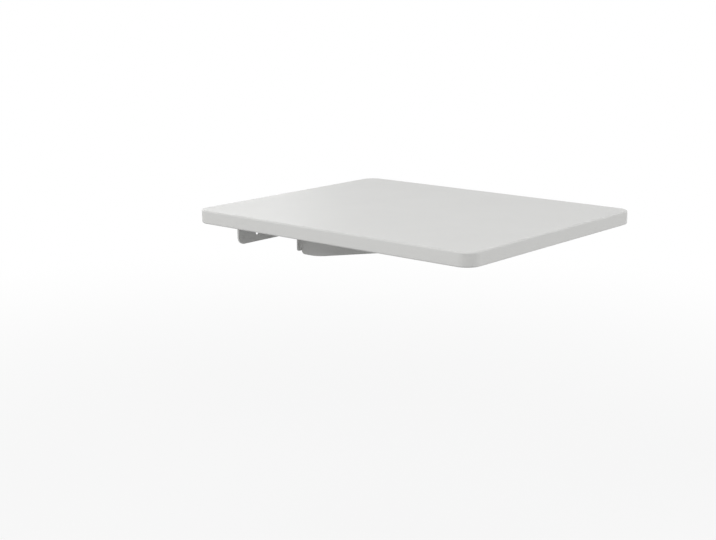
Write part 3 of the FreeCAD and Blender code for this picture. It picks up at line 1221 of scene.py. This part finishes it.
@dataclass(frozen=True)
class TurnedPart(Part):
    """Small part turned about its axis, with one shell at every screw's place."""

    columns: int = 72
    turn_between: float = 137.5
    shank_radius: float = 3.0
    thread_pitch: float = 1.0
    thread_depth: float = 0.55
    thread_flat: float = 0.125
    closed_rows: bool = False

    def make(self) -> Piece:
        """Copy the turned grid to each screw's place, each turned a little further than the last.

        Returns:
            The piece with every copy.
        """
        surface = Surface()
        for index, (x, y) in enumerate(LAYOUT.screws()):
            angle = math.radians(self.turn_between * index)
            cosine, sine = math.cos(angle), math.sin(angle)
            turn = np.array([[cosine, sine, 0], [-sine, cosine, 0], [0, 0, 1]])
            indices = surface.add_grid(self.grid() @ turn + [x, y, 0.0], wrap_rows=self.closed_rows)
            if not self.closed_rows:
                surface.close_ends(indices)
        return surface.piece(self.name)

    def grid(self) -> Array:
        """Skin of one part about the Z axis, shape (rows, columns, 3)."""
        raise NotImplementedError

    def angles(self) -> Array:
        """Angle of each column."""
        return np.arange(self.columns) * 2 * np.pi / self.columns

    def thread_radius(self, z: Array, crest: float) -> Array:
        """Radius of a screw thread: a flattened triangle wave of z / pitch less the turn.

        Args:
            z: Height of each row, shape (rows, 1).
            crest: Radius at the thread's crest.

        Returns:
            Radius at each row and column.
        """
        wave = np.mod(z / self.thread_pitch - self.angles() / (2 * np.pi), 1.0)
        slope = 1 + 2 * self.thread_flat
        depth = np.clip(slope * np.abs(2 * wave - 1) - self.thread_flat, 0.0, 1.0)
        return crest - self.thread_depth * depth

    def turned(self, radius: Array, z: Array) -> Array:
        """Grid of points from the height of each row, and the radius of each row or of each point."""
        x, y = radius * np.cos(self.angles()), radius * np.sin(self.angles())
        return np.stack([x, y, z * np.ones(self.columns)], axis=-1)

    def rings(self, rows: Array | list[Pair]) -> Array:
        """Turned grid from rows of radius and height."""
        return self.turned(*np.array(rows).T[..., None])


@dataclass(frozen=True)
class FlangeScrews(TurnedPart):
    """Flanged screws with a domed head and a hexagon socket, head down."""

    name: str = "flange_screws"
    node: str = "board_screws"
    slot: Slot = Slot.SCREW
    finish: Finish = ZINC
    seat_z: float = LAYOUT.plate_bottom
    shank_length: float = 14.0
    shank_fillet: float = 0.15
    thread_start: float = 3.2
    thread_run_in: float = 0.6
    thread_rows: int = 8
    tip_length: float = 0.7
    tip_chamfer: float = 0.5
    centre_radius: float = 0.4
    flange_radius: float = 6.5
    flange_thickness: float = 0.8
    flange_edge: float = 0.18
    edge_share: float = 0.3
    head_radius: float = 5.0
    head_height: float = 3.3
    head_foot: tuple[Pair, ...] = ((0.12, -0.02), (0.4, 0.0))
    crown_radius: float = 2.5
    dome_rise: float = 0.4
    dome_rows: int = 10
    socket_width: float = 4.0
    socket_depth: float = 1.9
    floor_shares: tuple[float, ...] = (0.1, 0.85, 0.98, 1.0, 1.0)
    floor_heights: tuple[float, ...] = (0.45, 0.0, 0.0, -0.03, -0.5)
    mouth_share: float = 1.03
    mouth_depth: float = 0.12

    def socket(self) -> Array:
        """Rows from the middle of the socket's floor out to its mouth and onto the crown.

        Each row is a share of the hexagon at a height above the floor, which heads into the screw.
        The hexagon's radius is half its width over the cosine of the angle from a side's middle.

        Returns:
            Grid of the socket.
        """
        from_middle = np.mod(self.angles(), np.pi / 3) - np.pi / 6
        hexagon = self.socket_width / 2 / np.cos(from_middle)
        depth = self.socket_depth
        shares = np.array([*self.floor_shares, 1.0, self.mouth_share])[:, None]
        heights = np.array([*self.floor_heights, self.mouth_depth - depth, -depth])[:, None]
        return self.turned(shares * hexagon, self.seat_z - self.head_height + depth + heights)

    def dome(self) -> Array:
        """Rows over the dome: the chord from crown to rim, pushed out by 4 * t * (1 - t) * rise.

        Returns:
            Grid of the dome.
        """
        crown = np.array([self.crown_radius, self.seat_z - self.head_height])
        chord = np.array([self.head_radius, self.seat_z - self.flange_thickness]) - crown
        outward = np.array([chord[1], -chord[0]]) / np.linalg.norm(chord)
        t = np.linspace(0.0, 1.0, self.dome_rows)[:, None]
        return self.rings(crown + chord * t + outward * 4 * t * (1 - t) * self.dome_rise)

    def grid(self) -> Array:
        """Whole skin of one screw, from its socket's floor over its head and up its shank.

        Returns:
            Grid of the screw.
        """
        edge, near = self.flange_edge, self.flange_edge * self.edge_share
        outer, seat, shank = self.flange_radius, self.seat_z, self.shank_radius
        flange_z = seat - self.flange_thickness
        end_z = seat + self.shank_length
        foot = [(self.head_radius + out, flange_z + up) for out, up in self.head_foot]
        flange = [
            (outer - edge, flange_z),
            (outer - near, flange_z + near),
            (outer, flange_z + edge),
            (outer, seat - edge),
            (outer - near, seat - near),
            (outer - edge, seat),
            (shank + self.shank_fillet, seat),
            (shank, seat + self.shank_fillet),
            (shank, seat + self.thread_start - self.thread_run_in),
        ]
        step = self.thread_pitch / self.thread_rows
        z = np.arange(seat + self.thread_start, end_z - self.tip_length, step)[:, None]
        thread = self.turned(self.thread_radius(z, shank), z)
        core, chamfer = shank - self.thread_depth, self.tip_chamfer
        tip = self.rings([(core, end_z - chamfer), (core - chamfer, end_z), (self.centre_radius, end_z)])
        return np.concatenate([self.socket(), self.dome(), self.rings(foot + flange), thread, tip])


@dataclass(frozen=True)
class BrassInserts(TurnedPart):
    """Barbed and knurled inserts that the screws turn into."""

    name: str = "brass_inserts"
    node: str = "board_inserts"
    slot: Slot = Slot.INSERT
    finish: Finish = BRASS
    closed_rows: bool = True
    start_z: float = LAYOUT.plate_bottom + LAYOUT.plate_thickness
    radius: float = 5.0
    length: float = 12.0
    rows: int = 61
    clearance: float = 0.1
    chamfer: float = 0.3
    plain_share: float = 0.06
    barb_depth: float = 0.45
    barb_count: int = 5
    knurl_count: int = 24
    knurl_share: float = 0.45

    def grid(self) -> Array:
        """Closed section of one insert: barbed and knurled outside, threaded inside.

        Returns:
            Grid of the insert.
        """
        z = self.start_z + np.linspace(0.0, self.length, self.rows)[:, None]
        share = (z - self.start_z) / self.length
        knurl = 0.5 + 0.5 * np.cos(self.knurl_count * self.angles())
        barbed = (share > self.plain_share) & (share < 1 - self.plain_share)
        depth = self.barb_depth * np.mod(share * self.barb_count, 1.0) * barbed
        outside = self.radius - depth * (1 - self.knurl_share + self.knurl_share * knurl)
        crest = self.shank_radius + self.clearance
        inside_z = z[::-1][2:-2]
        mouth = np.full((1, self.columns), crest + self.chamfer)
        radius = np.concatenate([outside, mouth, self.thread_radius(inside_z, crest), mouth])
        return self.turned(radius, np.concatenate([z, z[-1:], inside_z, z[:1]]))


@dataclass(frozen=True)
class FeltPad(Part):
    """Pressed felt pad in its node's box, thinnest across the faces that it parts."""

    name: str
    node: str
    slot: Slot = Slot.PAD
    finish: Finish = FELT
    corner_radius: float = 3.0
    edge: float = 0.7
    edge_points: int = 6
    cell: float = 2.0
    ripple: float = 0.02
    ripple_waves: tuple[Pair, Pair] = ((0.9, 0.4), (-0.3, 0.7))

    def build(self, effects: Effects) -> Piece:
        """Args:
            effects: The shared node groups.

        Returns:
            The finished pad.
        """
        piece = super().build(effects)
        return piece

    def make(self) -> Piece:
        """Make the bare pad, with the points at its two ends merged and its faces turned outwards.

        Returns:
            Its piece.
        """
        low, high = box_mm(self.node)
        thin = int(np.argmin(high - low))
        axes = [(thin + 1) % 3, (thin + 2) % 3, thin]
        plan = self.grid((high - low)[axes] / 2)
        placed = np.empty_like(plan)
        placed[..., axes] = plan
        surface = Surface()
        surface.add_grid(placed + (low + high) / 2)
        piece = surface.piece(self.name)
        work = bmesh.new()
        work.from_mesh(piece.data)
        bmesh.ops.remove_doubles(work, verts=work.verts, dist=1e-6)
        bmesh.ops.dissolve_degenerate(work, edges=work.edges, dist=1e-7)
        bmesh.ops.recalc_face_normals(work, faces=work.faces)
        work.to_mesh(piece.data)
        work.free()
        piece.data.shade_smooth()
        return piece

    def lines(self, half: float) -> Array:
        """Grid lines from -half to half, close together near the two ends.

        Args:
            half: Half the pad's size.

        Returns:
            Places of the lines.
        """
        soft = self.edge * (1 - np.cos(np.linspace(0.0, np.pi / 2, self.edge_points)))
        inner = half - self.edge
        count = max(2, int(np.ceil(2 * inner / self.cell)))
        middle = np.linspace(-inner, inner, count + 1)[1:-1]
        return np.concatenate([-half + soft, middle, (half - soft)[::-1]])

    def grid(self, half: Array) -> Array:
        """Upper and lower faces of a pad as one grid whose columns run round its section.

        A point in a corner's square is drawn onto a quarter disc: its offset is multiplied by the
        larger of its two parts over its length. The height is half the thickness times
        sqrt(1 - (1 - d / edge) squared), where d is the distance to the outline, less a faint ripple.

        Args:
            half: Half the pad's size across, along and through.

        Returns:
            Grid in plan coordinates, centred on the pad.
        """
        across = self.lines(half[0])
        s = np.concatenate([across, across[::-1][1:-1]])[None, :]
        s, q = np.broadcast_arrays(s, self.lines(half[1])[:, None])
        distance = np.minimum(half[0] - np.abs(s), half[1] - np.abs(q))
        level = 1 - np.minimum(np.maximum(distance, 0.0) / self.edge, 1.0)
        upward = np.concatenate([-np.ones(len(across)), np.ones(len(across) - 2)])
        first, second = (np.sin(per_s * s + per_q * q) for per_s, per_q in self.ripple_waves)
        height = upward * half[2] * np.sqrt(1 - level**2) * (1 - self.ripple * (1 + first * second))

        corner_s = np.maximum(np.abs(s) - (half[0] - self.corner_radius), 0.0)
        corner_q = np.maximum(np.abs(q) - (half[1] - self.corner_radius), 0.0)
        length = np.hypot(corner_s, corner_q)
        part = np.maximum(corner_s, corner_q) / np.maximum(length, NO_LENGTH)
        scale = np.where(length > 0, part, 1.0)
        s = np.sign(s) * (np.abs(s) - corner_s * (1 - scale))
        q = np.sign(q) * (np.abs(q) - corner_q * (1 - scale))
        return np.stack([s, q, height], axis=-1)


# Studio


@dataclass(frozen=True)
class Softbox:
    """Large soft lamp, in metres and watts, that looks at the object. Gloss shows it only if mirrored."""

    name: str
    place: Triple
    size: Pair
    power: float
    mirrored: bool = True
    target: Triple = (0.24, 0.0, 0.0)

    def build(self) -> None:
        """Make the lamp."""
        lamp = bpy.data.lights.new(self.name, "AREA")
        lamp.shape = "RECTANGLE"
        lamp.size, lamp.size_y = self.size
        lamp.energy = self.power
        holder = bpy.data.objects.new(self.name, lamp)
        holder.location = self.place
        direction = Vector(self.target) - Vector(self.place)
        holder.rotation_euler = direction.to_track_quat("-Z", "Y").to_euler()
        holder.visible_camera = False
        holder.visible_glossy = self.mirrored
        bpy.context.scene.collection.objects.link(holder)


@dataclass(frozen=True)
class Viewpoint:
    """Camera fitted to the straight edges of the object, in metres and degrees."""

    place: Triple = (1.39225, -1.44586, 0.35163)
    yaw: float = 41.048
    pitch: float = 12.762
    roll: float = 0.372
    lens: float = 64.30
    sensor: float = 36.0

    def build(self) -> None:
        """Make the camera: turned by its yaw about Z, then tipped down, then rolled about its axis."""
        data = bpy.data.cameras.new("viewpoint")
        data.lens = self.lens
        data.sensor_width = self.sensor
        camera = bpy.data.objects.new("viewpoint", data)
        turn = (
            Matrix.Rotation(math.radians(self.yaw), 4, "Z")
            @ Matrix.Rotation(math.radians(90.0 - self.pitch), 4, "X")
            @ Matrix.Rotation(-math.radians(self.roll), 4, "Z")
        )
        camera.matrix_world = Matrix.Translation(self.place) @ turn
        bpy.context.scene.collection.objects.link(camera)
        bpy.context.scene.camera = camera


@dataclass(frozen=True)
class Studio:
    """Plain pale floor, white surroundings, soft lamps and the camera."""

    floor_z: float = -0.50
    floor_reach: float = 8.0
    floor_lines: int = 9
    floor_colour: Triple = (0.55, 0.55, 0.55)
    floor_lift: float = 0.86
    fade: Pair = (0.6, 2.2)
    ambient: float = 0.20
    viewpoint: Viewpoint = Viewpoint()
    softboxes: tuple[Softbox, ...] = (
        Softbox("overhead", (0.24, 0.0, 2.2), (2.0, 2.0), 12.1),
        Softbox("left_high", (-1.319, -3.083, 2.0), (1.8, 1.8), 91.5, mirrored=False),
        Softbox("right_side", (3.586, 1.692, 1.37), (1.8, 1.8), 77.0, mirrored=False),
        Softbox("front_fill", (1.9, -1.9, 1.4), (1.4, 1.4), 18.8, mirrored=False),
        Softbox("hook_side_panel", (-2.27, 0.67, 0.55), (2.9, 0.9), 7.95),
    )

    def build(self) -> None:
        """Make the studio."""
        bpy.context.scene.view_settings.view_transform = "Standard"
        self.build_world()
        self.build_floor()
        for softbox in self.softboxes:
            softbox.build()
        self.viewpoint.build()

    @staticmethod
    def seen_directly(tree: Tree) -> Socket:
        """1 for rays from the camera, off a glossy surface or through a clear one, and 0 for others."""
        rays = tree.nodes.new("ShaderNodeLightPath").outputs
        return largest(tree, [rays[f"Is {kind} Ray"] for kind in ("Camera", "Glossy", "Transmission")])

    def build_world(self) -> None:
        """White where it is seen, and a plain soft fill where it lights the object."""
        world = bpy.data.worlds.new("white_room")
        world.use_nodes = True
        bpy.context.scene.world = world
        tree = world.node_tree
        seen = self.seen_directly(tree)
        strength = add_math(tree, "MULTIPLY_ADD", seen, 1.0 - self.ambient, self.ambient)
        wire(tree.nodes["Background"], {"Color": (1.0, 1.0, 1.0, 1.0), "Strength": strength})

    def build_floor(self) -> None:
        """Plain floor that is white where it is seen and still takes a faint shadow."""
        line = np.linspace(-self.floor_reach, self.floor_reach, self.floor_lines)
        x, y = np.meshgrid(line, line)
        points = np.stack([x, y, np.full_like(x, self.floor_z)], axis=-1).reshape(-1, 3)
        index = np.arange(x.size).reshape(x.shape)
        quads = np.stack([index[:-1, :-1], index[:-1, 1:], index[1:, 1:], index[1:, :-1]], axis=-1)
        mesh = bpy.data.meshes.new("floor")
        mesh.from_pydata(points.tolist(), [], quads.reshape(-1, 4).tolist())
        mesh.materials.append(self.floor_material())
        floor = bpy.data.objects.new("floor", mesh)
        bpy.context.scene.collection.objects.link(floor)

    def floor_material(self) -> Material:
        """Pale diffuse floor mixed with plain white, and clear from below.

        Where the floor is seen, the share of white grows to 1 away from the object.

        Returns:
            The floor's material.
        """
        material = bpy.data.materials.new("pale_floor")
        material.use_nodes = True
        tree = material.node_tree
        tree.nodes.remove(tree.nodes["Principled BSDF"])
        place = tree.nodes.new("ShaderNodeTexCoord").outputs["Object"]
        far = add_node(tree, "VectorMath", {0: place}, operation="LENGTH").outputs["Value"]
        near, away = self.fade
        ends = {"Value": far, "From Min": near, "From Max": away, "To Min": self.floor_lift, "To Max": 1.0}
        fade = add_node(tree, "MapRange", ends, interpolation_type="SMOOTHSTEP").outputs["Result"]
        share = add_math(tree, "MULTIPLY", fade, self.seen_directly(tree))
        diffuse = add_node(tree, "BsdfDiffuse", {"Color": (*self.floor_colour, 1.0)}).outputs[0]
        white = tree.nodes.new("ShaderNodeEmission").outputs[0]
        seen = add_node(tree, "MixShader", {0: share, 1: diffuse, 2: white}).outputs[0]
        below = tree.nodes.new("ShaderNodeNewGeometry").outputs["Backfacing"]
        clear = tree.nodes.new("ShaderNodeBsdfTransparent").outputs[0]
        sided = add_node(tree, "MixShader", {0: below, 1: seen, 2: clear}).outputs[0]
        wire(tree.nodes["Material Output"], {"Surface": sided})
        return material


def main() -> None:
    """Build the studio and then the sub-assemblies in order, and note the sizes."""
    logging.basicConfig(level=logging.INFO, format="%(name)s: %(message)s")
    effects = Effects.build()
    Studio().build()
    Board().build(effects)
    Bracket().build(effects)
    FlangeScrews().build(effects)
    BrassInserts().build(effects)
    FeltPad("felt_rail_top", "rail_top_pad").build(effects)
    FeltPad("felt_hook_leg", "hook_leg_pad").build(effects)
    FeltPad("felt_heel", "heel_pad").build(effects)


if __name__ == "__main__":
    main()
